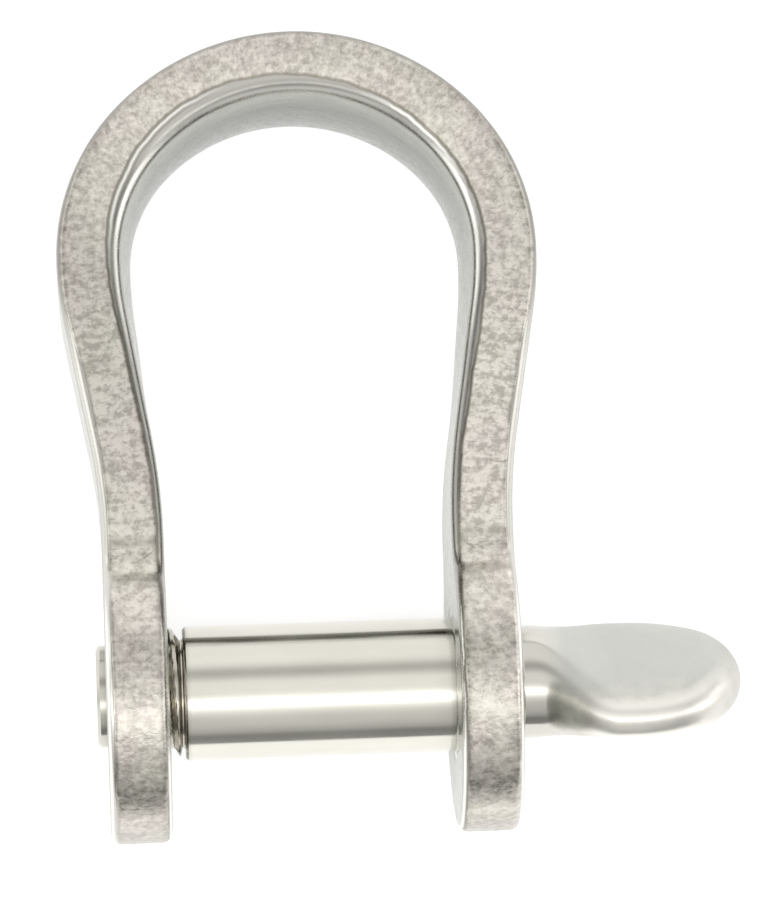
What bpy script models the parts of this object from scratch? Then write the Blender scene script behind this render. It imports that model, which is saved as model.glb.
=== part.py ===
"""A pressed stainless strip bow shackle: one stamped and bent strip, and one screw pin.

Frame: the origin is on the pin axis midway between the two ears. +X runs along the pin towards
its thumb paddle, +Y towards the crown of the bow and +Z across the strip, so that the shackle
lies flat. Lengths are in metres.
"""

import math

import bmesh
import bpy

MM = 0.001

# The strip that the bow is pressed from.
STRIP_THICKNESS = 2.3 * MM
STRIP_WIDTH = 6.7 * MM
EDGE_ROUND = 0.42 * MM
EDGE_STEPS = 2

# The two ears, parallel discs about the pin axis.
EAR_GAP = 10.6 * MM
EAR_RADIUS = 5.5 * MM
EAR_FILLET = 1.4 * MM
PLAIN_HOLE_RADIUS = 2.60 * MM
THREADED_HOLE_RADIUS = 2.55 * MM

# The centre line of one half of the bow, from the crown down to the pin axis. Each bend is a
# radius and the angle it turns through; the leg between hip and waist is straight.
CROWN_RADIUS = 8.1 * MM
CROWN_TURN = math.radians(45)
SHOULDER_RADIUS = 7.0 * MM
SHOULDER_TURN = math.radians(45)
HIP_RADIUS = 12.0 * MM
WAIST_RADIUS = 22.0 * MM
LEG_LEAN = math.radians(10.2)
EAR_TOP = 5.5 * MM
TURN_PER_STEP = math.radians(5)

# Bending swells the inside of the crown, most in the middle of the strip's width.
SWELL = 0.45 * MM
SWELL_FULL_TO = 12.0 * MM
SWELL_GONE_BY = 20.0 * MM
SWELL_CUTS = (-0.8, -0.45, 0.0, 0.45, 0.8)

# The pin, by distance along its axis.
PIN_END = -7.95 * MM
POINT_RADIUS = 1.9 * MM
POINT_CHAMFER = 0.12 * MM
POINT_STOP = -7.5 * MM
THREAD_MAJOR_RADIUS = 2.45 * MM
THREAD_MINOR_RADIUS = 2.02 * MM
THREAD_PITCH = 0.8 * MM
THREAD_STOP = -4.82 * MM
THREAD_STEPS_PER_PITCH = 6
SHANK_START = -4.72 * MM
SHANK_CHAMFER = 0.1 * MM
SHANK_RADIUS = 2.5 * MM
SHANK_STOP = 7.45 * MM
NECK_STOP = 8.1 * MM
NECK_RADIUS = 2.1 * MM
PIN_SIDES = 36

# The thumb paddle, coined flat from the pin's other end. Its face looks partly towards the crown
# and it sits a little off the pin's axis.
PADDLE_START = 8.4 * MM
PADDLE_WIDEST = 11.9 * MM
PADDLE_TIP = 16.05 * MM
PADDLE_HALF_WIDTH = 3.46 * MM
PADDLE_HALF_THICKNESS = 1.08 * MM
PADDLE_FLAT_FROM = 11.3 * MM
PADDLE_RIM = 1.5 * MM
PADDLE_SQUARENESS = 2.7
PADDLE_SET = 0.06 * MM
PADDLE_STATIONS = 20
PADDLE_FACE_TURN = math.radians(37)


def clear_scene():
    for old in list(bpy.data.objects):
        bpy.data.objects.remove(old, do_unlink=True)


def steel(name, colour, roughness):
    material = bpy.data.materials.new(name)
    material.use_nodes = True
    shader = material.node_tree.nodes["Principled BSDF"]
    shader.inputs["Base Color"].default_value = (*colour, 1.0)
    shader.inputs["Metallic"].default_value = 1.0
    shader.inputs["Roughness"].default_value = roughness
    return material


def add_object(name, mesh, material, collection):
    mesh.materials.append(material)
    for polygon in mesh.polygons:
        polygon.use_smooth = True
    obj = bpy.data.objects.new(name, mesh)
    collection.objects.link(obj)
    return obj


def arc_points(centre, radius, start, stop, steps):
    """Points on an arc, both ends included."""
    points = []
    for step in range(steps + 1):
        angle = start + (stop - start) * step / steps
        points.append((centre[0] + radius * math.cos(angle), centre[1] + radius * math.sin(angle)))
    return points


def half_centre_line():
    """The bends and straights of one half, from the crown, each as (length, angle turned)."""
    ear_centre = (EAR_GAP + STRIP_THICKNESS) / 2
    widest = CROWN_RADIUS * math.sin(CROWN_TURN)
    widest += SHOULDER_RADIUS * (math.sin(CROWN_TURN + SHOULDER_TURN) - math.sin(CROWN_TURN))
    bends_inward = (HIP_RADIUS + WAIST_RADIUS) * (1 - math.cos(LEG_LEAN))
    leg_length = (widest - ear_centre - bends_inward) / math.sin(LEG_LEAN)
    return [
        (CROWN_RADIUS * CROWN_TURN, CROWN_TURN),
        (SHOULDER_RADIUS * SHOULDER_TURN, SHOULDER_TURN),
        (HIP_RADIUS * LEG_LEAN, LEG_LEAN),
        (leg_length, 0.0),
        (WAIST_RADIUS * LEG_LEAN, -LEG_LEAN),
        (EAR_TOP, 0.0),
    ]


def walk(segments, distance):
    """Where the centre line is after this distance from the crown: (across, drop, heading)."""
    across = 0.0
    drop = 0.0
    heading = 0.0
    for length, turn in segments:
        part = min(distance, length)
        if turn:
            radius = length / turn
            turned = heading + part / radius
            across += radius * (math.sin(turned) - math.sin(heading))
            drop += radius * (math.cos(heading) - math.cos(turned))
            heading = turned
        else:
            across += part * math.cos(heading)
            drop += part * math.sin(heading)
        distance -= part
        if distance <= 0:
            break
    # Past the pin axis the ear runs on in a straight line.
    across += max(distance, 0.0) * math.cos(heading)
    drop += max(distance, 0.0) * math.sin(heading)
    return across, drop, heading


def blank_outline(pin_distance):
    """The stamped outline, laid out flat: a strip with a disc ear at each end."""
    half_width = STRIP_WIDTH / 2
    fillet_across = half_width + EAR_FILLET
    fillet_along = math.sqrt((EAR_RADIUS + EAR_FILLET) ** 2 - fillet_across**2)
    meet = math.atan2(fillet_across, fillet_along)
    right = []
    fillet_centre = (pin_distance - fillet_along, -fillet_across)
    right += arc_points(fillet_centre, EAR_FILLET, math.pi / 2, meet, 5)
    disc = arc_points((pin_distance, 0.0), EAR_RADIUS, meet - math.pi, math.pi - meet, 34)
    right += disc[1:-1]
    fillet_centre = (pin_distance - fillet_along, fillet_across)
    right += arc_points(fillet_centre, EAR_FILLET, -meet, -math.pi / 2, 5)
    left = [(-along, -across) for along, across in right]
    return right + left


def flat_blank(pin_distance):
    """The blank as a mesh: x along the strip, y across it and z through its thickness."""
    curve = bpy.data.curves.new("blank", "CURVE")
    curve.dimensions = "2D"
    curve.fill_mode = "BOTH"
    curve.extrude = STRIP_THICKNESS / 2 - EDGE_ROUND
    curve.bevel_depth = EDGE_ROUND
    curve.bevel_resolution = EDGE_STEPS - 1
    curve.offset = -EDGE_ROUND
    plain_hole = arc_points((pin_distance, 0.0), PLAIN_HOLE_RADIUS, 0, 2 * math.pi, PIN_SIDES)
    threaded_hole = arc_points((-pin_distance, 0.0), THREADED_HOLE_RADIUS, 0, 2 * math.pi, PIN_SIDES)
    for points in (blank_outline(pin_distance), plain_hole[:-1], threaded_hole[:-1]):
        spline = curve.splines.new("POLY")
        spline.points.add(len(points) - 1)
        for point, (along, across) in zip(spline.points, points):
            point.co = (along, across, 0.0, 1.0)
        spline.use_cyclic_u = True
    helper = bpy.data.objects.new("blank", curve)
    bpy.context.scene.collection.objects.link(helper)
    bpy.context.view_layer.update()
    graph = bpy.context.evaluated_depsgraph_get()
    mesh = bpy.data.meshes.new_from_object(helper.evaluated_get(graph))
    bpy.data.objects.remove(helper, do_unlink=True)
    return mesh


def bend_stations(segments):
    """Distances from the crown at which the blank is creased, close together on the bends."""
    stations = [0.0]
    start = 0.0
    for length, turn in segments:
        steps = max(1, math.ceil(abs(turn) / TURN_PER_STEP - 1e-9))
        stations += [start + length * (step + 1) / steps for step in range(steps)]
        start += length
    # The last station would be the pin axis, inside the flat ear.
    return stations[:-1]


def cut_across(blank, at, axis, keep):
    """Adds a line of vertices across every face that passes the test."""
    point = [0.0, 0.0, 0.0]
    point[axis] = at
    normal = [0.0, 0.0, 0.0]
    normal[axis] = 1.0
    faces = [face for face in blank.faces if keep(face.calc_center_median())]
    edges = {edge for face in faces for edge in face.edges}
    verts = {vert for face in faces for vert in face.verts}
    geometry = list(verts) + list(edges) + faces
    bmesh.ops.bisect_plane(blank, geom=geometry, plane_co=point, plane_no=normal, dist=1e-7)


def swell_at(distance, across):
    """How far the inner face stands in, by distance from the crown and across the width."""
    along = (SWELL_GONE_BY - distance) / (SWELL_GONE_BY - SWELL_FULL_TO)
    along = min(1.0, max(0.0, along))
    fade = along * along * (3 - 2 * along)
    share = min(1.0, abs(across) / (STRIP_WIDTH / 2))
    return SWELL * fade * (1 - share * share)


def bend_blank(blank, segments):
    """Bends the flat blank round the centre line, in place."""
    whole_drop = walk(segments, sum(length for length, _ in segments))[1]
    for vert in blank.verts:
        along, across, through = vert.co
        x, drop, heading = walk(segments, abs(along))
        if through < 0:
            inner_share = -through / (STRIP_THICKNESS / 2)
            through -= swell_at(abs(along), across) * inner_share
        x += through * math.sin(heading)
        y = whole_drop - drop + through * math.cos(heading)
        vert.co = (math.copysign(x, along) if along else 0.0, y, -across)


def make_bow(collection):
    segments = half_centre_line()
    pin_distance = sum(length for length, _ in segments)
    mesh = flat_blank(pin_distance)
    blank = bmesh.new()
    blank.from_mesh(mesh)
    bpy.data.meshes.remove(mesh)
    bmesh.ops.remove_doubles(blank, verts=blank.verts, dist=1e-7)
    for station in bend_stations(segments):
        for side in {station, -station}:
            cut_across(blank, side, 0, lambda centre: True)
    for share in SWELL_CUTS:
        cut_across(
            blank,
            share * STRIP_WIDTH / 2,
            1,
            lambda centre: centre.z < 0 and abs(centre.x) < SWELL_GONE_BY,
        )
    bend_blank(blank, segments)
    bmesh.ops.recalc_face_normals(blank, faces=blank.faces)
    mesh = bpy.data.meshes.new("bow")
    blank.to_mesh(mesh)
    blank.free()
    material = steel("bow_steel", (0.60, 0.58, 0.55), 0.38)
    return add_object("bow", mesh, material, collection)


def smooth_share(value, start, stop):
    share = min(1.0, max(0.0, (value - start) / (stop - start)))
    return share * share * (3 - 2 * share)


def thread_radius(x, angle):
    """The radius of the threaded end at one point: a ridge that winds once a pitch."""
    phase = (x / THREAD_PITCH - angle / (2 * math.pi)) % 1.0
    ridge = min(1.0, max(0.0, 1.3 - 2.6 * abs(phase - 0.5) * 1.25))
    depth = THREAD_MAJOR_RADIUS - THREAD_MINOR_RADIUS
    radius = THREAD_MINOR_RADIUS + depth * ridge
    chamfer = POINT_RADIUS - POINT_CHAMFER + (x - PIN_END)
    point = POINT_RADIUS + max(0.0, x - POINT_STOP)
    runs_out = THREAD_MAJOR_RADIUS - depth * smooth_share(x, THREAD_STOP - THREAD_PITCH / 6, THREAD_STOP)
    return min(radius, chamfer, point, runs_out)


def thread_rings():
    rings = []
    steps = round((THREAD_STOP - PIN_END) / THREAD_PITCH * THREAD_STEPS_PER_PITCH)
    for step in range(steps + 1):
        x = PIN_END + (THREAD_STOP - PIN_END) * step / steps
        ring = []
        for side in range(PIN_SIDES):
            angle = 2 * math.pi * side / PIN_SIDES
            radius = thread_radius(x, angle)
            ring.append((x, radius * math.cos(angle), radius * math.sin(angle)))
        rings.append(ring)
    return rings


def round_ring(x, radius):
    ring = []
    for side in range(PIN_SIDES):
        angle = 2 * math.pi * side / PIN_SIDES
        ring.append((x, radius * math.cos(angle), radius * math.sin(angle)))
    return ring


def paddle_half_width(x):
    """The coined outline: a drop shape that grows smoothly out of the neck."""
    if x < PADDLE_WIDEST:
        growth = smooth_share(x, PADDLE_START, PADDLE_FLAT_FROM)
        return NECK_RADIUS + (PADDLE_HALF_WIDTH - NECK_RADIUS) * growth
    share = (x - PADDLE_WIDEST) / (PADDLE_TIP - PADDLE_WIDEST)
    return PADDLE_HALF_WIDTH * math.sqrt(max(0.0, 1 - share * share))


def paddle_half_thickness(x):
    flat = smooth_share(x, NECK_STOP, PADDLE_FLAT_FROM)
    thickness = NECK_RADIUS + (PADDLE_HALF_THICKNESS - NECK_RADIUS) * flat
    into_rim = max(0.0, x - (PADDLE_TIP - PADDLE_RIM)) / PADDLE_RIM
    return thickness * math.sqrt(max(0.0, 1 - into_rim**2))


def signed_power(value, power):
    return math.copysign(abs(value) ** power, value)


def paddle_ring(x):
    """One cross-section of the paddle, wide along its face and thin through it."""
    squareness = 2 + (PADDLE_SQUARENESS - 2) * smooth_share(x, NECK_STOP, PADDLE_FLAT_FROM)
    half_width = paddle_half_width(x)
    half_thickness = paddle_half_thickness(x)
    sits_at = -PADDLE_SET * smooth_share(x, NECK_STOP, PADDLE_WIDEST)
    ring = []
    for side in range(PIN_SIDES):
        # Measured from the way the face looks, so that it meets the round neck side by side.
        angle = 2 * math.pi * side / PIN_SIDES - PADDLE_FACE_TURN
        out = half_thickness * signed_power(math.cos(angle), 2 / squareness)
        across = half_width * signed_power(math.sin(angle), 2 / squareness)
        y = out * math.cos(PADDLE_FACE_TURN) - across * math.sin(PADDLE_FACE_TURN)
        z = out * math.sin(PADDLE_FACE_TURN) + across * math.cos(PADDLE_FACE_TURN)
        ring.append((x, y + sits_at, z))
    return ring


def paddle_rings():
    """Stations close together at the root and at the rounded tip."""
    rings = []
    last = PADDLE_TIP - 0.03 * MM
    for step in range(1, PADDLE_STATIONS + 1):
        share = step / PADDLE_STATIONS
        eased = (1 - math.cos(math.pi * share)) / 2
        even = 0.35 * share + 0.65 * eased
        rings.append(paddle_ring(NECK_STOP + (last - NECK_STOP) * even))
    return rings


def join_rings(rings):
    """One closed mesh through the rings, with a flat face at each end."""
    solid = bmesh.new()
    rows = [[solid.verts.new(point) for point in ring] for ring in rings]
    for near, far in zip(rows, rows[1:]):
        for side in range(PIN_SIDES):
            after = (side + 1) % PIN_SIDES
            solid.faces.new((near[side], near[after], far[after], far[side]))
    solid.faces.new(rows[0])
    solid.faces.new(rows[-1])
    bmesh.ops.recalc_face_normals(solid, faces=solid.faces)
    mesh = bpy.data.meshes.new("screw_pin")
    solid.to_mesh(mesh)
    solid.free()
    return mesh


def make_screw_pin(collection):
    rings = thread_rings()
    rings.append(round_ring(SHANK_START, THREAD_MINOR_RADIUS))
    rings.append(round_ring(SHANK_START, SHANK_RADIUS - SHANK_CHAMFER))
    rings.append(round_ring(SHANK_START + SHANK_CHAMFER, SHANK_RADIUS))
    rings.append(round_ring(SHANK_STOP, SHANK_RADIUS))
    rings.append(round_ring(SHANK_STOP + SHANK_RADIUS - NECK_RADIUS, NECK_RADIUS))
    rings.append(round_ring(NECK_STOP, NECK_RADIUS))
    rings += paddle_rings()
    material = steel("pin_steel", (0.66, 0.65, 0.61), 0.24)
    return add_object("screw_pin", join_rings(rings), material, collection)


def main():
    clear_scene()
    collection = bpy.data.collections.new("bow_shackle")
    bpy.context.scene.collection.children.link(collection)
    make_bow(collection)
    make_screw_pin(collection)


main()
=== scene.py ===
"""Looks of a pressed stainless strip bow shackle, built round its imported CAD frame."""

import math

import bmesh
import bpy
from mathutils import Matrix, Vector


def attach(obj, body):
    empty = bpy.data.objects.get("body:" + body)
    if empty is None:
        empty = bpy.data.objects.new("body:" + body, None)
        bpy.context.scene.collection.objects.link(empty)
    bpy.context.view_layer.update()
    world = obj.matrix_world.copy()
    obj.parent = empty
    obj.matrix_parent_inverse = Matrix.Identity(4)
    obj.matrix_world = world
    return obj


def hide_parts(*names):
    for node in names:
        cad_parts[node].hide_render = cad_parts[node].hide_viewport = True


MM = 0.001

# The strip and its ears, as in the CAD.
STRIP_THICKNESS = 2.3 * MM
STRIP_WIDTH = 6.7 * MM
EDGE_ROUND = 0.42 * MM
EDGE_STEPS = 7
EAR_GAP = 10.6 * MM
EAR_RADIUS = 5.5 * MM
EAR_FILLET = 1.4 * MM
EAR_STEPS = 110
FILLET_STEPS = 16
PLAIN_HOLE_RADIUS = 2.60 * MM
THREADED_HOLE_RADIUS = 2.55 * MM
HOLE_STEPS = 96

# The centre line of one half of the bow, from the crown down to the pin axis, as in the CAD.
CROWN_RADIUS = 8.1 * MM
CROWN_TURN = math.radians(45)
SHOULDER_RADIUS = 7.0 * MM
SHOULDER_TURN = math.radians(45)
HIP_RADIUS = 12.0 * MM
WAIST_RADIUS = 22.0 * MM
LEG_LEAN = math.radians(10.2)
EAR_TOP = 5.5 * MM
TURN_PER_STEP = math.radians(1.5)

# Bending swells the inside of the crown, most in the middle of the strip's width.
SWELL = 0.45 * MM
SWELL_FULL_TO = 12.0 * MM
SWELL_GONE_BY = 20.0 * MM
SWELL_CUTS = 24

# Points this close together are one point.
MERGE_WITHIN = 1e-7

# The strip's shading follows its large faces, and the pin's breaks at edges sharper than this.
LARGE_FACE_WEIGHT = 80
SHARP_EDGE = math.radians(32)

# The pin, by distance along its axis, as in the CAD.
PIN_SIDES = 144
PIN_END = -7.95 * MM
POINT_RADIUS = 1.9 * MM
POINT_CHAMFER = 0.12 * MM
POINT_STOP = -7.5 * MM
THREAD_MAJOR_RADIUS = 2.45 * MM
THREAD_MINOR_RADIUS = 2.02 * MM
THREAD_PITCH = 0.8 * MM
THREAD_STOP = -4.82 * MM
THREAD_STEPS = 110
SHANK_START = -4.72 * MM
SHANK_CHAMFER = 0.1 * MM
SHANK_RADIUS = 2.5 * MM
SHANK_STOP = 7.45 * MM
NECK_STOP = 8.1 * MM
NECK_RADIUS = 2.1 * MM

# The thread's ridge before it is cut flat on top, in shares of its height, and how much of that
# height it loses in one pitch.
RIDGE_PEAK = 1.3
RIDGE_FALL = 3.25

# A ring of points this close to an edge keeps the surface beside it smooth.
BESIDE_EDGE = 0.05 * MM

# The coined thumb paddle, which sits a little off the pin's axis. Its cross-sections stand partly
# evenly and partly closer together at both ends, and the last one is cut this short of the tip.
PADDLE_START = 8.4 * MM
PADDLE_WIDEST = 11.9 * MM
PADDLE_TIP = 16.05 * MM
PADDLE_HALF_WIDTH = 3.46 * MM
PADDLE_HALF_THICKNESS = 1.08 * MM
PADDLE_FLAT_FROM = 11.3 * MM
PADDLE_RIM = 1.5 * MM
PADDLE_SQUARENESS = 2.7
PADDLE_SET = 0.06 * MM
PADDLE_STATIONS = 120
PADDLE_EVEN_SHARE = 0.35
PADDLE_CUT = 0.03 * MM
PADDLE_FACE_TURN = math.radians(37)

# How far the torn zone of a stamped edge reaches from the middle of the thickness towards the inside
# and the outside of the bow, by place along the strip from the left ear to the right. In millimetres.
TORN_INSIDE = [
    (-46, 1.03),
    (-26, 1.03),
    (-23, 0.90),
    (-15.5, 0.84),
    (-11.5, 0.72),
    (-8, 0.56),
    (-5, 0.38),
    (-2.5, 0.46),
    (0, 0.56),
    (2.8, 0.66),
    (6, 0.78),
    (11, 0.78),
    (15.5, 0.74),
    (23, 0.88),
    (26, 0.98),
    (46, 0.98),
]
TORN_OUTSIDE = [
    (-46, 0.86),
    (-22, 0.84),
    (-16, 0.78),
    (-13, 1.03),
    (13, 1.03),
    (16, 0.78),
    (22, 0.84),
    (26, 1.02),
    (46, 1.02),
]

# The rolled faces begin this far from the middle of the thickness, in millimetres.
FACE_FROM = 1.12

# Painted shade and painted highlights along the strip: the torn zone from the left ear to the right ear,
# and the outer rim, the inner rim and the inner face by distance from the crown. Places are in
# millimetres.
TORN_SHADE = [
    (-46, 0.78),
    (-35, 0.80),
    (-33.8, 1.02),
    (-33.5, 0.86),
    (-31.5, 0.99),
    (-29.9, 0.94),
    (-27.4, 0.87),
    (-25.5, 1.0),
    (-24, 1.0),
    (-20, 0.86),
    (-12, 0.77),
    (-9, 1.02),
    (-4, 1.12),
    (0, 1.04),
    (6, 1.10),
    (9, 1.0),
    (12, 0.92),
    (16, 0.98),
    (25.5, 1.02),
    (27.4, 0.87),
    (29.9, 0.81),
    (31.5, 1.0),
    (33.5, 0.88),
    (33.8, 1.02),
    (35, 0.80),
    (46, 0.78),
]
OUTER_RIM_SHADE = [(0, 0.60), (12, 0.62), (16, 1.25), (22, 1.15), (46, 1.1)]
INNER_RIM_SHADE = [(0, 0.50), (3, 0.60), (6, 0.90), (9, 0.62), (20, 0.55), (25, 0.80), (46, 0.95)]
INNER_FACE_SHADE = [(0, 0.60), (5, 0.62), (9, 0.66), (14, 0.82), (20, 1.0), (46, 1.0)]

# Two faint dark bands of painted shade above each ear, where the leg turns into the ear.
EAR_ROOT_SHADE_BANDS = (22.6, 24.0)

# Colours of the strip: rolled faces, torn grain and its tints, and the lines along the stamped edge,
# which are painted shade and painted highlights.
UNSHADED = (1.0, 1.0, 1.0, 1)
ROLLED_DARK = (0.40, 0.405, 0.375, 1)
ROLLED_LIGHT = (0.50, 0.50, 0.465, 1)
TORN_DARK = (0.43, 0.405, 0.365, 1)
TORN_LIGHT = (0.87, 0.83, 0.765, 1)
TORN_GREENISH = (0.66, 0.655, 0.555, 1)
TORN_PINKISH = (0.66, 0.595, 0.565, 1)
TORN_TINT_SHARE = 0.3
EAR_ROOT_SHADE_DARK = (0.36, 0.34, 0.30, 1)
EDGE_PLAIN = (0.52, 0.51, 0.475, 1)
STEP_SHADOW_DARK = (0.24, 0.22, 0.18, 1)
GROOVE_SHADE_DARK = (0.26, 0.25, 0.21, 1)
RIM_HIGHLIGHT = (0.90, 0.89, 0.85, 1)
EAR_RIM_HIGHLIGHT = (0.96, 0.95, 0.91, 1)

# Colours of the pin: the turned shank, the threaded end and the coined paddle, with painted shade on the
# paddle's tip and upper rim and a painted highlight on its lower edge.
SHANK_DARK = (0.70, 0.685, 0.62, 1)
SHANK_LIGHT = (0.74, 0.725, 0.66, 1)
SHANK_DARKER = (0.50, 0.485, 0.45, 1)
THREAD_DARK = (0.38, 0.35, 0.30, 1)
STUB_GREY = (0.56, 0.55, 0.50, 1)
FACE_DARK = (0.51, 0.515, 0.49, 1)
FACE_LIGHT = (0.56, 0.56, 0.53, 1)
RIM_DARK = (0.58, 0.57, 0.525, 1)
RIM_LIGHT = (0.76, 0.745, 0.69, 1)
TIP_SHADE_GREY = (0.34, 0.335, 0.315, 1)
UPPER_RIM_SHADE_GREY = (0.40, 0.40, 0.38, 1)
LOWER_EDGE_HIGHLIGHT = (0.90, 0.88, 0.83, 1)

# How deep the surfaces' relief goes.
TORN_DEPTH = 0.03 * MM
TURNING_DEPTH = 0.005 * MM

# The camera hangs over the shackle and leans a little towards the ears and to the left.
CAMERA_AIM = Vector((3.05, 8.90, 0.06)) * MM
CAMERA_DISTANCE = 220 * MM
CAMERA_YAW = math.radians(2.79)
CAMERA_TILT = math.radians(8.6)
CAMERA_ROLL = math.radians(2.33)
CAMERA_LENS = 235.0
SENSOR = 36.0

# The floor touches the ears' rims and the back edge of the crown, and glows a little.
FLOOR_TILT = math.radians(5.1)
FLOOR_DROP = 5.51 * MM
FLOOR_HALF = 2000 * MM
FLOOR_DARK = (0.49, 0.49, 0.49, 1)
FLOOR_LIGHT = (0.51, 0.51, 0.51, 1)
FLOOR_GLOW = 0.68

# How bright the surroundings are, by degrees about the pin from straight up, positive towards the crown.
SKY_BANDS = [
    (-180, 0.25),
    (-112, 0.25),
    (-86, 0.28),
    (-79, 0.50),
    (-66, 0.68),
    (-52, 0.76),
    (-44, 0.93),
    (-36, 1.30),
    (-30, 2.2),
    (-21, 2.2),
    (-16, 1.35),
    (-9, 1.06),
    (10, 1.04),
    (17, 0.80),
    (24, 0.58),
    (31, 0.62),
    (40, 0.96),
    (48, 1.08),
    (80, 1.06),
    (86, 0.50),
    (92, 0.25),
    (180, 0.25),
]
SKY_TINT = (1.0, 0.995, 0.98, 1)

# Towards both ends of the pin, by the sideways part of the direction, stands a brighter panel with a
# darker gap before it.
SKY_PANELS = [(0.0, 1.0), (0.42, 1.0), (0.60, 0.62), (0.74, 0.75), (0.84, 1.8), (0.94, 1.6), (1.0, 0.9)]

# A lamp stands beside the camera, and a dark card stands beyond the ears.
LAMP_DISTANCE = 500 * MM
LAMP_SIZE = 90 * MM
LAMP_POWER = 0.5
CARD_GREY = (0.25, 0.25, 0.25, 1)
FLAG_DISTANCE = 45 * MM
FLAG_HALF_LENGTH = 60 * MM
FLAG_TOP = 0.5 * MM


def arc_points(centre, radius, start, stop, steps):
    """Points along an arc, both ends included."""
    points = []
    for step in range(steps + 1):
        angle = start + (stop - start) * step / steps
        points.append((centre[0] + radius * math.cos(angle), centre[1] + radius * math.sin(angle)))
    return points


def smooth_share(value, start, stop):
    """Nought up to the start, one from the stop on, and a smooth rise between them."""
    share = min(1.0, max(0.0, (value - start) / (stop - start)))
    return share * share * (3 - 2 * share)


def half_centre_line():
    """The bends and straights of one half, from the crown, each as (length, angle turned)."""
    ear_centre = (EAR_GAP + STRIP_THICKNESS) / 2
    widest = CROWN_RADIUS * math.sin(CROWN_TURN)
    widest += SHOULDER_RADIUS * (math.sin(CROWN_TURN + SHOULDER_TURN) - math.sin(CROWN_TURN))
    bends_inward = (HIP_RADIUS + WAIST_RADIUS) * (1 - math.cos(LEG_LEAN))
    leg_length = (widest - ear_centre - bends_inward) / math.sin(LEG_LEAN)
    return [
        (CROWN_RADIUS * CROWN_TURN, CROWN_TURN),
        (SHOULDER_RADIUS * SHOULDER_TURN, SHOULDER_TURN),
        (HIP_RADIUS * LEG_LEAN, LEG_LEAN),
        (leg_length, 0.0),
        (WAIST_RADIUS * LEG_LEAN, -LEG_LEAN),
        (EAR_TOP, 0.0),
    ]


def walk(segments, distance):
    """Where the centre line is after this distance from the crown: (across, drop, heading)."""
    across = 0.0
    drop = 0.0
    heading = 0.0
    for length, turn in segments:
        part = min(distance, length)
        if turn:
            radius = length / turn
            turned = heading + part / radius
            across += radius * (math.sin(turned) - math.sin(heading))
            drop += radius * (math.cos(heading) - math.cos(turned))
            heading = turned
        else:
            across += part * math.cos(heading)
            drop += part * math.sin(heading)
        distance -= part
        if distance <= 0:
            break
    across += max(distance, 0.0) * math.cos(heading)
    drop += max(distance, 0.0) * math.sin(heading)
    return across, drop, heading


def blank_outline(pin_distance):
    """The stamped outline, laid out flat: a strip with a disc ear at each end."""
    fillet_across = STRIP_WIDTH / 2 + EAR_FILLET
    fillet_along = math.sqrt((EAR_RADIUS + EAR_FILLET) ** 2 - fillet_across**2)
    meet = math.atan2(fillet_across, fillet_along)
    fillet_at = pin_distance - fillet_along
    right = arc_points((fillet_at, -fillet_across), EAR_FILLET, math.pi / 2, meet, FILLET_STEPS)
    right += arc_points((pin_distance, 0.0), EAR_RADIUS, meet - math.pi, math.pi - meet, EAR_STEPS)[1:-1]
    right += arc_points((fillet_at, fillet_across), EAR_FILLET, -meet, -math.pi / 2, FILLET_STEPS)
    return right + [(-along, -across) for along, across in right]


def flat_blank(pin_distance):
    """The blank as a mesh: x along the strip, y across it and z through its thickness."""
    curve = bpy.data.curves.new("blank", "CURVE")
    curve.dimensions = "2D"
    curve.fill_mode = "BOTH"
    curve.extrude = STRIP_THICKNESS / 2 - EDGE_ROUND
    curve.bevel_depth = EDGE_ROUND
    curve.bevel_resolution = EDGE_STEPS - 1
    curve.offset = -EDGE_ROUND
    full = 2 * math.pi
    plain = arc_points((pin_distance, 0.0), PLAIN_HOLE_RADIUS, 0, full, HOLE_STEPS)
    threaded = arc_points((-pin_distance, 0.0), THREADED_HOLE_RADIUS, 0, full, HOLE_STEPS)
    for points in (blank_outline(pin_distance), plain[:-1], threaded[:-1]):
        spline = curve.splines.new("POLY")
        spline.points.add(len(points) - 1)
        for point, (along, across) in zip(spline.points, points):
            point.co = (along, across, 0.0, 1.0)
        spline.use_cyclic_u = True
    helper = bpy.data.objects.new("blank", curve)
    bpy.context.scene.collection.objects.link(helper)
    bpy.context.view_layer.update()
    graph = bpy.context.evaluated_depsgraph_get()
    mesh = bpy.data.meshes.new_from_object(helper.evaluated_get(graph))
    bpy.data.objects.remove(helper, do_unlink=True)
    return mesh


def bend_stations(segments):
    """The distances from the crown at which the blank is cut across, so that it can bend there."""
    stations = [0.0]
    start = 0.0
    for length, turn in segments[:-1]:
        steps = max(6, math.ceil(abs(turn) / TURN_PER_STEP))
        stations += [start + length * (step + 1) / steps for step in range(steps)]
        start += length
    return stations


def cut_across(blank, at, axis, keep):
    """Adds a line of vertices across every face that passes the test."""
    point = [0.0, 0.0, 0.0]
    point[axis] = at
    normal = [0.0, 0.0, 0.0]
    normal[axis] = 1.0
    faces = [face for face in blank.faces if keep(face.calc_center_median())]
    edges = {edge for face in faces for edge in face.edges}
    verts = {vert for face in faces for vert in face.verts}
    geometry = list(verts) + list(edges) + faces
    bmesh.ops.bisect_plane(blank, geom=geometry, plane_co=point, plane_no=normal, dist=MERGE_WITHIN)


def swell_at(distance, across):
    """How far the inner face stands in, by distance from the crown and across the width."""
    along = min(1.0, max(0.0, (SWELL_GONE_BY - distance) / (SWELL_GONE_BY - SWELL_FULL_TO)))
    share = min(1.0, abs(across) / (STRIP_WIDTH / 2))
    return SWELL * along * along * (3 - 2 * along) * (1 - share * share)


def run_of(along, across, pin_distance):
    """Distance along the stamped outline, which goes round the end of each ear."""
    past_pin = abs(along) - pin_distance
    if past_pin <= 0:
        return along
    return math.copysign(pin_distance + EAR_RADIUS * math.atan2(past_pin, abs(across)), along)


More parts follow.
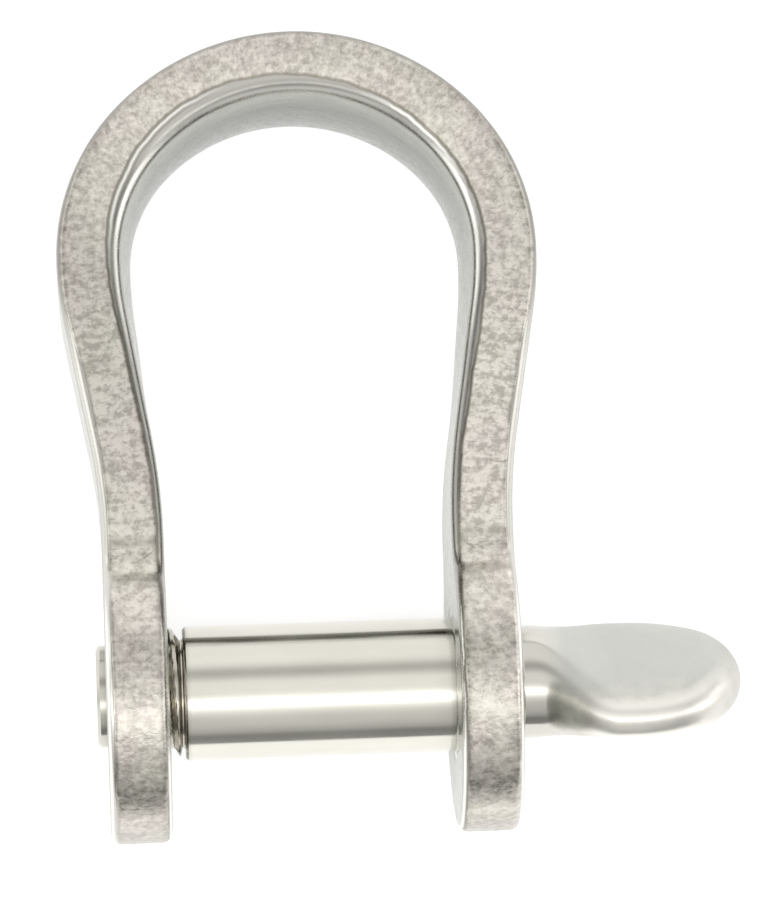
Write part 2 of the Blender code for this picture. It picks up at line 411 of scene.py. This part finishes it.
def bend_blank(blank, segments, pin_distance):
    """Bends the flat blank round the centre line and notes where on the strip each point was."""
    whole_drop = walk(segments, pin_distance)[1]
    place = blank.verts.layers.float_vector.new("strip_place")
    for vert in blank.verts:
        along, across, through = vert.co
        run = run_of(along, across, pin_distance)
        vert[place] = Vector((run, through, across)) / MM
        x, drop, heading = walk(segments, abs(along))
        if through < 0:
            inner_share = -through / (STRIP_THICKNESS / 2)
            through -= swell_at(abs(along), across) * inner_share
        x += through * math.sin(heading)
        y = whole_drop - drop + through * math.cos(heading)
        vert.co = (math.copysign(x, along) if along else 0.0, y, -across)


def add_piece(name, mesh, material, body, node):
    """One visible piece, which rides on its body and stands for one CAD node."""
    mesh.materials.append(material)
    for polygon in mesh.polygons:
        polygon.use_smooth = True
    piece = bpy.data.objects.new(name, mesh)
    bpy.context.scene.collection.objects.link(piece)
    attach(piece, body)
    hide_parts(node)
    return piece


def make_bow(material):
    segments = half_centre_line()
    pin_distance = sum(length for length, _ in segments)
    mesh = flat_blank(pin_distance)
    blank = bmesh.new()
    blank.from_mesh(mesh)
    bpy.data.meshes.remove(mesh)
    bmesh.ops.remove_doubles(blank, verts=blank.verts, dist=MERGE_WITHIN)
    for station in bend_stations(segments):
        for side in {station, -station}:
            cut_across(blank, side, 0, lambda centre: True)
    for cut in range(1, SWELL_CUTS):
        across = (2 * cut / SWELL_CUTS - 1) * (STRIP_WIDTH / 2 - EDGE_ROUND)
        cut_across(blank, across, 1, lambda centre: centre.z < 0 and abs(centre.x) < SWELL_GONE_BY)
    bend_blank(blank, segments, pin_distance)
    bmesh.ops.recalc_face_normals(blank, faces=blank.faces)
    mesh = bpy.data.meshes.new("bow_strip")
    blank.to_mesh(mesh)
    blank.free()
    piece = add_piece("bow_strip", mesh, material, "bow", "bow")
    weighted = piece.modifiers.new("weighted", "WEIGHTED_NORMAL")
    weighted.mode = "FACE_AREA"
    weighted.weight = LARGE_FACE_WEIGHT


def thread_radius(x, angle):
    """The radius of the threaded end at one point: a ridge, flat on top, that winds once a pitch."""
    phase = (x / THREAD_PITCH - angle / (2 * math.pi)) % 1.0
    ridge = min(1.0, max(0.0, RIDGE_PEAK - RIDGE_FALL * abs(phase - 0.5)))
    depth = THREAD_MAJOR_RADIUS - THREAD_MINOR_RADIUS
    radius = THREAD_MINOR_RADIUS + depth * ridge
    chamfer = POINT_RADIUS - POINT_CHAMFER + (x - PIN_END)
    point = POINT_RADIUS + max(0.0, x - POINT_STOP)
    runs_out = THREAD_MAJOR_RADIUS - depth * smooth_share(x, THREAD_STOP - THREAD_PITCH / 6, THREAD_STOP)
    return min(radius, chamfer, point, runs_out)


def ring_about_axis(x, radius_at):
    ring = []
    for side in range(PIN_SIDES):
        angle = 2 * math.pi * side / PIN_SIDES
        radius = radius_at(angle)
        ring.append((x, radius * math.cos(angle), radius * math.sin(angle)))
    return ring


def paddle_half_width(x):
    """The coined outline: a drop shape that grows smoothly out of the neck."""
    if x < PADDLE_WIDEST:
        growth = smooth_share(x, PADDLE_START, PADDLE_FLAT_FROM)
        return NECK_RADIUS + (PADDLE_HALF_WIDTH - NECK_RADIUS) * growth
    share = (x - PADDLE_WIDEST) / (PADDLE_TIP - PADDLE_WIDEST)
    return PADDLE_HALF_WIDTH * math.sqrt(max(0.0, 1 - share * share))


def paddle_half_thickness(x):
    flat = smooth_share(x, NECK_STOP, PADDLE_FLAT_FROM)
    thickness = NECK_RADIUS + (PADDLE_HALF_THICKNESS - NECK_RADIUS) * flat
    into_rim = max(0.0, x - (PADDLE_TIP - PADDLE_RIM)) / PADDLE_RIM
    return thickness * math.sqrt(max(0.0, 1 - into_rim**2))


def signed_power(value, power):
    return math.copysign(abs(value) ** power, value)


def paddle_ring(x):
    """One cross-section of the paddle, wide along its face and thin through it."""
    squareness = 2 + (PADDLE_SQUARENESS - 2) * smooth_share(x, NECK_STOP, PADDLE_FLAT_FROM)
    half_width = paddle_half_width(x)
    half_thickness = paddle_half_thickness(x)
    sits_at = -PADDLE_SET * smooth_share(x, NECK_STOP, PADDLE_WIDEST)
    ring = []
    for side in range(PIN_SIDES):
        angle = 2 * math.pi * side / PIN_SIDES - PADDLE_FACE_TURN
        out = half_thickness * signed_power(math.cos(angle), 2 / squareness)
        across = half_width * signed_power(math.sin(angle), 2 / squareness)
        y = out * math.cos(PADDLE_FACE_TURN) - across * math.sin(PADDLE_FACE_TURN)
        z = out * math.sin(PADDLE_FACE_TURN) + across * math.cos(PADDLE_FACE_TURN)
        ring.append((x, y + sits_at, z))
    return ring


def pin_rings():
    """Every cross-section of the pin, from its threaded end to the tip of the paddle."""
    rings = []
    for step in range(THREAD_STEPS + 1):
        x = PIN_END + (THREAD_STOP - PIN_END) * step / THREAD_STEPS
        rings.append(ring_about_axis(x, lambda angle: thread_radius(x, angle)))
    neck_start = SHANK_STOP + SHANK_RADIUS - NECK_RADIUS
    profile = [
        (SHANK_START - BESIDE_EDGE, THREAD_MINOR_RADIUS),
        (SHANK_START, THREAD_MINOR_RADIUS + BESIDE_EDGE),
        (SHANK_START, SHANK_RADIUS - SHANK_CHAMFER),
        (SHANK_START + SHANK_CHAMFER, SHANK_RADIUS),
        (SHANK_START + SHANK_CHAMFER + BESIDE_EDGE, SHANK_RADIUS),
        (0.0, SHANK_RADIUS),
        (SHANK_STOP - BESIDE_EDGE, SHANK_RADIUS),
        (SHANK_STOP, SHANK_RADIUS),
        (neck_start, NECK_RADIUS),
        (neck_start + BESIDE_EDGE, NECK_RADIUS),
        (NECK_STOP, NECK_RADIUS),
    ]
    for x, radius in profile:
        rings.append(ring_about_axis(x, lambda angle: radius))
    last = PADDLE_TIP - PADDLE_CUT
    for step in range(1, PADDLE_STATIONS + 1):
        even = step / PADDLE_STATIONS
        eased = (1 - math.cos(math.pi * even)) / 2
        share = PADDLE_EVEN_SHARE * even + (1 - PADDLE_EVEN_SHARE) * eased
        rings.append(paddle_ring(NECK_STOP + (last - NECK_STOP) * share))
    return rings


def make_pin(material):
    solid = bmesh.new()
    rows = [[solid.verts.new(point) for point in ring] for ring in pin_rings()]
    for near, far in zip(rows, rows[1:]):
        for side in range(PIN_SIDES):
            after = (side + 1) % PIN_SIDES
            solid.faces.new((near[side], near[after], far[after], far[side]))
    solid.faces.new(rows[0])
    solid.faces.new(rows[-1])
    bmesh.ops.recalc_face_normals(solid, faces=solid.faces)
    mesh = bpy.data.meshes.new("turned_pin")
    solid.to_mesh(mesh)
    solid.free()
    add_piece("turned_pin", mesh, material, "pin", "screw_pin")
    mesh.set_sharp_from_angle(angle=SHARP_EDGE)


class Nodes:
    """A short way to write the nodes of a material or of the world."""

    def __init__(self, owner, shader):
        owner.use_nodes = True
        self.owner = owner
        self.tree = owner.node_tree
        self.shader = self.tree.nodes[shader]

    def add(self, kind, inputs=None, **settings):
        node = self.tree.nodes.new(kind)
        for key, value in settings.items():
            setattr(node, key, value)
        for key, value in (inputs or {}).items():
            self.put(value, node.inputs[key])
        return node

    def put(self, value, socket):
        if isinstance(value, bpy.types.NodeSocket):
            self.tree.links.new(value, socket)
        else:
            socket.default_value = value

    def maths(self, operation, a, b=0.0):
        return self.add("ShaderNodeMath", {0: a, 1: b}, operation=operation).outputs[0]

    def plus(self, a, b):
        return self.maths("ADD", a, b)

    def minus(self, a, b):
        return self.maths("SUBTRACT", a, b)

    def times(self, first, *others):
        for other in others:
            first = self.maths("MULTIPLY", first, other)
        return first

    def noise(self, place, scales, detail, roughness):
        """Noise with a scale of its own along each axis."""
        scaled = self.add("ShaderNodeMapping", {"Vector": place, "Scale": scales})
        node = self.add(
            "ShaderNodeTexNoise",
            {"Vector": scaled.outputs["Vector"], "Scale": 1.0, "Detail": detail, "Roughness": roughness},
        )
        return node.outputs["Fac"]

    def between(self, value, low, high, start=0.0, stop=1.0):
        """Low up to the start, high from the stop on, and evenly between them."""
        node = self.add(
            "ShaderNodeMapRange",
            {"Value": value, "From Min": start, "From Max": stop, "To Min": low, "To Max": high},
        )
        return node.outputs["Result"]

    def along(self, place, steps):
        """A brightness that changes with the place, given as (place, brightness) steps."""
        first = steps[0][0]
        last = steps[-1][0]
        share = self.between(place, 0.0, 1.0, first, last)
        node = self.add("ShaderNodeValToRGB", {"Fac": share})
        elements = node.color_ramp.elements
        while len(elements) < len(steps):
            elements.new(0.5)
        for element, (reach, value) in zip(elements, steps):
            element.position = (reach - first) / (last - first)
            element.color = (value, value, value, 1)
        return node.outputs["Color"]

    def line(self, value, at, half_width):
        """One where the value is at this place, fading to nothing at each side."""
        off = self.maths("ABSOLUTE", self.minus(value, at))
        return self.between(off, 1.0, 0.0, 0.2 * half_width, half_width)

    def mix(self, factor, a, b, blend="MIX"):
        node = self.add("ShaderNodeMix", data_type="RGBA", blend_type=blend)
        self.put(factor, node.inputs[0])
        self.put(a, node.inputs[6])
        self.put(b, node.inputs[7])
        return node.outputs[2]

    def shade(self, colour, by):
        return self.mix(1.0, colour, by, "MULTIPLY")

    def bump(self, height, strength, distance):
        node = self.add("ShaderNodeBump", {"Height": height, "Strength": strength, "Distance": distance})
        self.put(node.outputs["Normal"], self.shader.inputs["Normal"])


def material_nodes(name):
    return Nodes(bpy.data.materials.new(name), "Principled BSDF")


class StripPlace:
    """Where a point is on the strip, in millimetres: along it, through its thickness and across it."""

    def __init__(self, n):
        self.point = n.add("ShaderNodeAttribute", attribute_name="strip_place").outputs["Vector"]
        axes = n.add("ShaderNodeSeparateXYZ", {0: self.point})
        self.run = axes.outputs["X"]
        self.distance = n.maths("ABSOLUTE", self.run)
        self.through = axes.outputs["Y"]
        self.off_middle = n.maths("ABSOLUTE", self.through)
        self.across = axes.outputs["Z"]
        self.inside = n.between(self.through, 1.0, 0.0, -0.02, 0.02)
        below_crown = n.between(self.distance, 0.0, 1.0, 9.0, 14.0)
        self.on_legs = n.times(below_crown, n.between(self.distance, 1.0, 0.0, 22.0, 26.0))


def past_torn_zone(n, strip):
    """How far a point on the stamped edge lies past the limit of the torn zone, which wanders a little."""
    limit = n.mix(strip.inside, n.along(strip.run, TORN_OUTSIDE), n.along(strip.run, TORN_INSIDE))
    wander = n.between(n.noise(strip.point, (0.8, 0.0, 0.4), 3.0, 0.6), -0.04, 0.04, 0.3, 0.7)
    return n.minus(n.plus(strip.off_middle, wander), limit)


def torn_grain(n, strip, grains, mottle):
    """The grain of the torn zone, with streaks across the legs."""
    streaks = n.noise(strip.point, (4.5, 0.7, 1.0), 2.0, 0.6)
    streaks = n.times(streaks, n.between(strip.on_legs, 0.10, 0.20))
    grains = n.times(grains, n.between(strip.on_legs, 0.62, 0.54))
    return n.plus(n.plus(streaks, grains), n.times(mottle, 0.26))


def torn_steel(n, strip, torn, mottle):
    """Torn zone colour: grain, tinted patches, painted light and shade, and dark bands of shade by the
    ears.
    """
    dark_below = n.between(strip.on_legs, 0.40, 0.43)
    light_above = n.between(strip.on_legs, 0.59, 0.545)
    colour = n.mix(n.between(torn, 0.0, 1.0, dark_below, light_above), TORN_DARK, TORN_LIGHT)
    patches = n.noise(strip.point, (0.45, 0.6, 0.5), 2.0, 0.5)
    tint = n.mix(n.between(patches, 0.0, 1.0, 0.38, 0.62), TORN_GREENISH, TORN_PINKISH)
    colour = n.mix(TORN_TINT_SHARE, colour, tint)
    colour = n.shade(colour, n.along(strip.run, TORN_SHADE))
    # Two dark bands of painted shade above the ears.
    for at in EAR_ROOT_SHADE_BANDS:
        ear_root_shade = n.times(n.line(strip.distance, at, 0.28), n.between(mottle, 0.2, 0.8, 0.4, 0.6))
        colour = n.mix(ear_root_shade, colour, EAR_ROOT_SHADE_DARK)
    return colour


def shoulder_lines(n, strip, past, colour):
    """Past the torn zone follow a painted highlight and a dark line of painted shade, inside the
    shoulders.
    """
    shoulders = n.times(n.between(strip.distance, 0.0, 1.0, 2.5, 5.0), strip.inside)
    shoulders = n.times(shoulders, n.between(strip.distance, 1.0, 0.0, 10.0, 13.0))
    lip_highlight = n.times(n.line(past, 0.13, 0.07), shoulders)
    groove_shade = n.times(n.line(past, 0.25, 0.07), shoulders, 0.55)
    return n.mix(groove_shade, n.mix(lip_highlight, colour, RIM_HIGHLIGHT), GROOVE_SHADE_DARK)


def shaded_rims(n, strip, colour):
    """The rounded rims of the stamped edge, with painted shade along the strip and painted highlights."""
    outer_rim = n.between(strip.through, 0.0, 1.0, 0.80, 1.05)
    inner_rim = n.line(strip.through, -0.94, 0.24)
    colour = n.shade(colour, n.mix(outer_rim, UNSHADED, n.along(strip.distance, OUTER_RIM_SHADE)))
    colour = n.shade(colour, n.mix(inner_rim, UNSHADED, n.along(strip.distance, INNER_RIM_SHADE)))
    # A painted highlight along the inner corner near the crown.
    inner_corner_highlight = n.line(strip.through, -1.07, 0.12)
    inner_corner_highlight = n.times(inner_corner_highlight, n.between(strip.distance, 0.85, 0.0, 12.0, 16.0))
    colour = n.mix(inner_corner_highlight, colour, RIM_HIGHLIGHT)
    # A painted highlight along the rims of the ears.
    ear_rim_highlight = n.line(strip.off_middle, 1.07, 0.08)
    ear_rim_highlight = n.times(ear_rim_highlight, n.between(strip.distance, 0.0, 0.9, 24.5, 26.0))
    return n.mix(ear_rim_highlight, colour, EAR_RIM_HIGHLIGHT)


def rolled_steel(n, strip, rolled):
    """The colour of the rolled faces. The bow shades its own inner face, more so away from the rim."""
    colour = n.mix(n.between(rolled, 0.0, 1.0, 0.3, 0.7), ROLLED_DARK, ROLLED_LIGHT)
    in_shade = n.times(n.between(strip.across, 0.0, 1.0, -3.1, -1.8), strip.inside)
    depth = n.between(strip.across, 1.0, 0.82, -1.8, 2.5)
    inner_shade = n.shade(n.along(strip.distance, INNER_FACE_SHADE), depth)
    return n.shade(colour, n.mix(in_shade, UNSHADED, inner_shade))


def strip_steel():
    """Stamped strip: smooth rolled faces and rims, and torn edges marked through the thickness."""
    n = material_nodes("strip_steel")
    strip = StripPlace(n)
    grains = n.noise(strip.point, (4.2, 3.2, 1.8), 2.5, 0.75)
    mottle = n.noise(strip.point, (1.5, 1.7, 1.0), 2.0, 0.6)
    rolled = n.noise(strip.point, (0.5, 1.0, 9.0), 4.0, 0.6)
    pits = n.noise(strip.point, (3.0, 3.0, 3.0), 4.0, 0.7)
    torn = torn_grain(n, strip, grains, mottle)

    # The torn zone lies in the middle of the stamped edge, with a fine step at each side of it.
    past = past_torn_zone(n, strip)
    torn_zone = n.between(past, 1.0, 0.0, -0.04, 0.04)
    step = n.times(n.line(past, 0.0, 0.09), n.between(strip.inside, 0.0, 1.0, -0.6, 1.05))

    edge = n.mix(torn_zone, EDGE_PLAIN, torn_steel(n, strip, torn, mottle))
    edge = shoulder_lines(n, strip, past, edge)
    # A dark line of painted shadow along each step.
    edge = n.mix(n.times(step, 0.9), edge, STEP_SHADOW_DARK)
    edge = shaded_rims(n, strip, edge)
    rolled_face = n.between(strip.off_middle, 0.0, 1.0, FACE_FROM - 0.04, FACE_FROM + 0.01)
    n.put(n.mix(rolled_face, edge, rolled_steel(n, strip, rolled)), n.shader.inputs["Base Color"])

    torn_rough = n.between(grains, 0.22, 0.42, 0.3, 0.7)
    smooth_rough = n.between(pits, 0.18, 0.32, 0.3, 0.7)
    roughness = n.plus(smooth_rough, n.times(n.minus(torn_rough, smooth_rough), torn_zone))
    n.put(roughness, n.shader.inputs["Roughness"])
    n.shader.inputs["Metallic"].default_value = 1.0

    relief = n.minus(n.times(torn, torn_zone), n.times(step, 0.1))
    n.bump(n.plus(relief, n.times(rolled, 0.05)), 1.0, TORN_DEPTH)
    return n.owner


def shank_steel(n, along, smears):
    """The colour of the turned steel: bright, and darker by the shoulder, in the thread and on the stub.
    """
    by_shoulder = n.between(along, 0.0, 1.0, SHANK_STOP - 3.0 * MM, SHANK_STOP - 1.4 * MM)
    threaded = n.between(along, 0.6, 0.0, SHANK_START, SHANK_START + 0.25 * MM)
    stub = n.between(along, 1.0, 0.0, -7.75 * MM, -7.45 * MM)
    colour = n.mix(n.between(smears, 0.0, 1.0, 0.35, 0.65), SHANK_DARK, SHANK_LIGHT)
    colour = n.mix(n.times(by_shoulder, 0.5), colour, SHANK_DARKER)
    colour = n.mix(threaded, colour, THREAD_DARK)
    return n.mix(stub, colour, STUB_GREY)


def paddle_steel(n, place, along, satin):
    """The colour of the coined paddle: a grey face, a paler rim and a painted highlight on the lower edge.
    """
    angle = {"Vector": place, "Angle": -PADDLE_FACE_TURN}
    turned = n.add("ShaderNodeVectorRotate", angle, rotation_type="X_AXIS")
    axes = n.add("ShaderNodeSeparateXYZ", {0: turned.outputs["Vector"]})
    on_face = n.between(axes.outputs["Y"], 0.0, 1.0, 0.72 * MM, 0.98 * MM)
    width = n.between(axes.outputs["Z"], -1.0, 1.0, -PADDLE_HALF_WIDTH, PADDLE_HALF_WIDTH)
    reach = n.between(along, 0.0, 1.0, PADDLE_WIDEST, PADDLE_TIP)

    towards_outline = n.maths("SQRT", n.plus(n.times(reach, reach), n.times(width, width)))
    # A painted highlight along the lower edge, fading towards the tip.
    lower_edge_highlight = n.line(towards_outline, 0.93, 0.16)
    lower_edge_highlight = n.times(lower_edge_highlight, n.between(width, 0.0, 0.9, 0.0, 0.5))
    lower_edge_highlight = n.times(lower_edge_highlight, n.between(reach, 1.0, 0.35, 0.6, 0.9))

    face = n.mix(n.between(satin, 0.0, 1.0, 0.3, 0.7), FACE_DARK, FACE_LIGHT)
    rim = n.mix(n.between(satin, 0.0, 1.0, 0.35, 0.65), RIM_DARK, RIM_LIGHT)
    # Painted shade: the rim greys towards the tip and along the upper edge.
    rim = n.mix(n.between(reach, 0.0, 0.45, 0.40, 0.85), rim, TIP_SHADE_GREY)
    rim = n.mix(n.between(width, 0.5, 0.0, -0.6, 0.1), rim, UPPER_RIM_SHADE_GREY)
    return n.mix(lower_edge_highlight, n.mix(on_face, rim, face), LOWER_EDGE_HIGHLIGHT)


def turned_steel():
    """Turned bar, bright on the shank and satin where the paddle is coined."""
    n = material_nodes("turned_steel")
    place = n.add("ShaderNodeTexCoord").outputs["Object"]
    along = n.add("ShaderNodeSeparateXYZ", {0: place}).outputs["X"]
    coined = n.between(along, 0.0, 1.0, 8.5 * MM, 9.5 * MM)
    rings = n.noise(place, (9000.0, 160.0, 160.0), 3.0, 0.6)
    smears = n.noise(place, (260.0, 900.0, 900.0), 3.0, 0.55)
    satin = n.noise(place, (1400.0, 1400.0, 1400.0), 4.0, 0.6)

    shank = shank_steel(n, along, smears)
    paddle = paddle_steel(n, place, along, satin)
    n.put(n.mix(coined, shank, paddle), n.shader.inputs["Base Color"])

    shank_rough = n.between(smears, 0.10, 0.17, 0.3, 0.7)
    satin_rough = n.between(satin, 0.32, 0.42, 0.3, 0.7)
    roughness = n.plus(shank_rough, n.times(n.minus(satin_rough, shank_rough), coined))
    n.put(roughness, n.shader.inputs["Roughness"])
    n.shader.inputs["Metallic"].default_value = 1.0

    height = n.plus(n.times(rings, 0.25), n.times(smears, 0.4))
    n.bump(n.plus(height, n.times(satin, coined, 1.5)), 0.4, TURNING_DEPTH)
    return n.owner


def floor_material():
    """White acrylic lit from below, as on a light table."""
    n = material_nodes("pale_floor")
    place = n.add("ShaderNodeTexCoord").outputs["Object"]
    tooth = n.noise(place, (300.0, 300.0, 300.0), 3.0, 0.5)
    n.put(n.mix(tooth, FLOOR_DARK, FLOOR_LIGHT), n.shader.inputs["Base Color"])
    n.shader.inputs["Roughness"].default_value = 0.9
    n.shader.inputs["Specular IOR Level"].default_value = 0.0
    n.shader.inputs["Emission Color"].default_value = (1.0, 1.0, 1.0, 1)
    n.shader.inputs["Emission Strength"].default_value = FLOOR_GLOW
    return n.owner


def make_floor():
    mesh = bpy.data.meshes.new("floor")
    corners = [
        (-FLOOR_HALF, -FLOOR_HALF, 0),
        (FLOOR_HALF, -FLOOR_HALF, 0),
        (FLOOR_HALF, FLOOR_HALF, 0),
        (-FLOOR_HALF, FLOOR_HALF, 0),
    ]
    mesh.from_pydata(corners, [], [(0, 1, 2, 3)])
    mesh.materials.append(floor_material())
    floor = bpy.data.objects.new("floor", mesh)
    bpy.context.scene.collection.objects.link(floor)
    down = Vector((0.0, math.sin(FLOOR_TILT), -math.cos(FLOOR_TILT)))
    floor.location = down * FLOOR_DROP
    floor.rotation_euler = (FLOOR_TILT, 0.0, 0.0)


def make_world():
    """A soft overhead light: bands of brightness about the pin, and panels towards its ends."""
    world = bpy.data.worlds.new("studio")
    bpy.context.scene.world = world
    n = Nodes(world, "Background")
    direction = n.add("ShaderNodeTexCoord").outputs["Generated"]
    axes = n.add("ShaderNodeSeparateXYZ", {0: direction})
    angle = n.maths("ARCTAN2", axes.outputs["Y"], axes.outputs["Z"])
    bands = n.along(n.maths("DEGREES", angle), SKY_BANDS)
    panels = n.along(n.maths("ABSOLUTE", axes.outputs["X"]), SKY_PANELS)
    n.put(n.shade(n.shade(bands, SKY_TINT), panels), n.shader.inputs["Color"])


def make_lamp(towards):
    """A soft lamp beside the camera that lights the floor and does not show in the steel."""
    light = bpy.data.lights.new("floor_fill", "AREA")
    light.shape = "DISK"
    light.size = LAMP_SIZE
    light.energy = LAMP_POWER
    lamp = bpy.data.objects.new("floor_fill", light)
    lamp.location = CAMERA_AIM + towards * LAMP_DISTANCE
    lamp.rotation_euler = towards.to_track_quat("Z", "Y").to_euler()
    lamp.visible_glossy = False
    bpy.context.scene.collection.objects.link(lamp)


def make_flag():
    """A low dark card beyond the ears, which draws the dark lines along the pin and the ears."""
    mesh = bpy.data.meshes.new("flag")
    bottom = -FLOOR_DROP - FLAG_DISTANCE * math.tan(FLOOR_TILT)
    corners = [
        (-FLAG_HALF_LENGTH, -FLAG_DISTANCE, bottom),
        (FLAG_HALF_LENGTH, -FLAG_DISTANCE, bottom),
        (FLAG_HALF_LENGTH, -FLAG_DISTANCE, FLAG_TOP),
        (-FLAG_HALF_LENGTH, -FLAG_DISTANCE, FLAG_TOP),
    ]
    mesh.from_pydata(corners, [], [(0, 1, 2, 3)])
    n = material_nodes("dark_card")
    n.shader.inputs["Base Color"].default_value = CARD_GREY
    n.shader.inputs["Roughness"].default_value = 0.9
    mesh.materials.append(n.owner)
    flag = bpy.data.objects.new("flag", mesh)
    flag.visible_camera = False
    flag.visible_diffuse = False
    flag.visible_shadow = False
    bpy.context.scene.collection.objects.link(flag)


def camera_direction():
    """The camera leans from straight above towards the ears and a little to the left."""
    return Vector((
        -math.sin(CAMERA_YAW) * math.cos(CAMERA_TILT),
        -math.sin(CAMERA_TILT),
        math.cos(CAMERA_YAW) * math.cos(CAMERA_TILT),
    ))


def make_camera(away):
    right = Vector((math.cos(CAMERA_YAW), 0.0, math.sin(CAMERA_YAW)))
    up = away.cross(right)
    turn = Matrix.Rotation(-CAMERA_ROLL, 3, away)
    right = turn @ right
    up = turn @ up
    data = bpy.data.cameras.new("camera")
    data.lens = CAMERA_LENS
    data.sensor_width = SENSOR
    data.clip_start = 0.01
    camera = bpy.data.objects.new("camera", data)
    rotation = Matrix((right, up, away)).transposed()
    camera.matrix_world = Matrix.Translation(CAMERA_AIM + away * CAMERA_DISTANCE) @ rotation.to_4x4()
    bpy.context.scene.collection.objects.link(camera)
    bpy.context.scene.camera = camera


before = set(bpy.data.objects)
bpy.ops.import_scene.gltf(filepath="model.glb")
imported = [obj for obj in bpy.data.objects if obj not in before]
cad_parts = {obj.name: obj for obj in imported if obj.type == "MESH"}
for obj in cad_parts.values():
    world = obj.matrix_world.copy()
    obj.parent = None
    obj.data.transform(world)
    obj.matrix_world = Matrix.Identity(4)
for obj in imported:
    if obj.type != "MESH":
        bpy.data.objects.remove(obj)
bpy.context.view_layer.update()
make_bow(strip_steel())
make_pin(turned_steel())
make_floor()
make_world()
make_lamp(camera_direction())
make_flag()
make_camera(camera_direction())
bpy.context.scene.view_settings.view_transform = "Standard"
bpy.context.view_layer.update()
